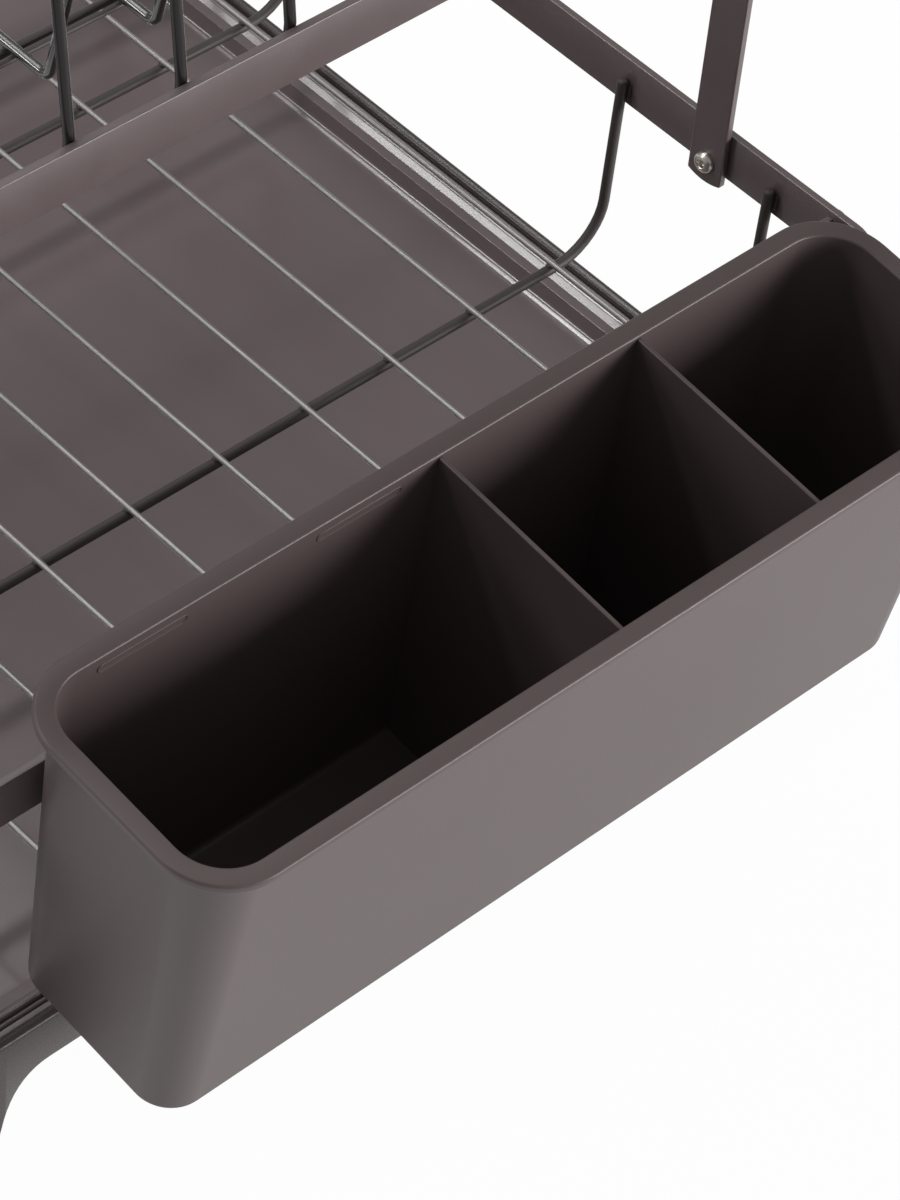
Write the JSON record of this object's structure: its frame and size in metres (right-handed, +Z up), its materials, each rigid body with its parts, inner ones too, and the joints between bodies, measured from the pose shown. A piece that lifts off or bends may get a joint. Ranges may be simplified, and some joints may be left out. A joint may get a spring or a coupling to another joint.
{
  "type": "two-tier dish rack",
  "caption": "Two-tier wire dish rack on a drip tray in a legged base, with a utensil holder hung on its front.",
  "frame": {"origin": "below the middle of the whole object, on the counter, with the utensil holder included", "axes": "+X to the right seen from the holder's side, +Y to the back, +Z up"},
  "size_m": [0.4522, 0.543, 0.4519],
  "materials": {
    "coated_steel": "satin",
    "base_plastic": "satin",
    "holder_plastic": "satin",
    "bright_steel": "bright"
  },
  "bodies": {
    "base": {"base_stand": "base_plastic"},
    "tray": {"drip_tray": "base_plastic"},
    "rack": {"lower_frame": "coated_steel", "upper_frame": "coated_steel", "rack_leg_front_left": "coated_steel", "rack_leg_front_right": "coated_steel", "rack_leg_back_left": "coated_steel", "rack_leg_back_right": "coated_steel", "lower_rod_1": "coated_steel", "lower_rod_2": "coated_steel", "lower_rod_3": "coated_steel", "lower_rod_4": "coated_steel", "lower_wire_1": "coated_steel", "lower_wire_2": "coated_steel", "lower_wire_3": "coated_steel", "lower_wire_4": "coated_steel", "lower_wire_5": "coated_steel", "lower_wire_6": "coated_steel", "lower_wire_7": "coated_steel", "lower_wire_8": "coated_steel", "lower_wire_9": "coated_steel", "lower_wire_10": "coated_steel", "upper_rod_front": "coated_steel", "upper_rod_back": "coated_steel", "upper_tie_front": "coated_steel", "upper_tie_back": "coated_steel", "upper_wire_1": "coated_steel", "upper_wire_2": "coated_steel", "upper_wire_3": "coated_steel", "upper_wire_4": "coated_steel", "upper_wire_5": "coated_steel", "upper_wire_6": "coated_steel", "upper_wire_7": "coated_steel", "upper_wire_8": "coated_steel", "upper_wire_9": "coated_steel", "upper_wire_10": "coated_steel", "guard_post_1": "coated_steel", "guard_post_2": "coated_steel", "guard_post_3": "coated_steel", "guard_post_4": "coated_steel", "guard_post_5": "coated_steel", "guard_post_6": "coated_steel", "guard_post_7": "coated_steel", "guard_post_8": "coated_steel", "guard_post_9": "coated_steel", "guard_post_10": "coated_steel", "guard_rail": "coated_steel", "arm_front_left": "coated_steel", "arm_front_right": "coated_steel", "arm_back_left": "coated_steel", "arm_back_right": "coated_steel", "bolt_lower_front_left": "bright_steel", "bolt_lower_front_right": "bright_steel", "bolt_lower_back_left": "bright_steel", "bolt_lower_back_right": "bright_steel", "bolt_upper_front_left": "bright_steel", "bolt_upper_front_right": "bright_steel", "bolt_upper_back_left": "bright_steel", "bolt_upper_back_right": "bright_steel"},
    "holder": {"utensil_holder": "holder_plastic"}
  },
  "joints": [
    {"name": "tray_lift", "type": "slide", "parent": "base", "child": "tray", "axis": [0, 0, 1], "range_m": [0, 0.04]},
    {"name": "rack_lift", "type": "slide", "parent": "tray", "child": "rack", "axis": [0, 0, 1], "range_m": [0, 0.12]},
    {"name": "holder_lift", "type": "slide", "parent": "rack", "child": "holder", "axis": [0, -0.0998, 0.995], "range_m": [0, 0.16]}
  ]
}
